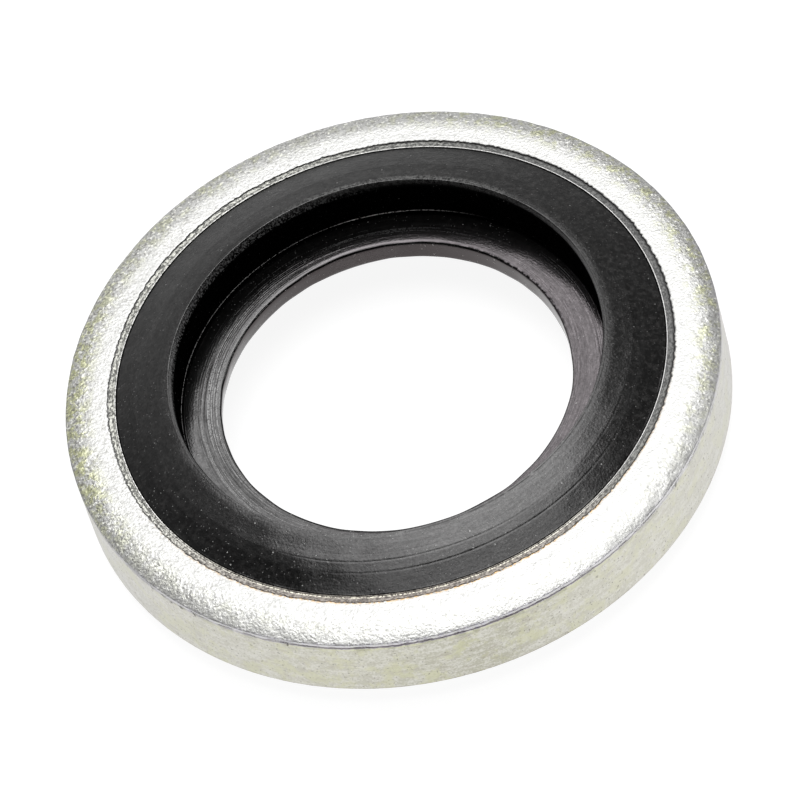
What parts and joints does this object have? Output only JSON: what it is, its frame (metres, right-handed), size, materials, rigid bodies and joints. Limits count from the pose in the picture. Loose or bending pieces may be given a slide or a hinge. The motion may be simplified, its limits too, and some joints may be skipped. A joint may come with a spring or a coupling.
{
  "type": "bonded sealing washer",
  "caption": "Self-centring bonded sealing washer: a flat zinc-plated steel ring with a black rubber seal moulded into its bore, lipped on both faces.",
  "frame": {"origin": "on the washer's axis, in the plane that the lower sealing lip rests on (bottom centre of the washer)", "axes": "+Z along the washer's axis, out of the face with the rolled-over rim; X and Y are equivalent, because the part is turned"},
  "size_m": [0.0158, 0.0158, 0.0031],
  "materials": {
    "zinc_steel": "zinc plated and passivated, grit-rough faces, smooth sheared rim",
    "nitrile_rubber": "moulded black rubber, satin"
  },
  "bodies": {
    "root": {"steel_ring": "zinc_steel", "rubber_seal": "nitrile_rubber"}
  },
  "joints": []
}
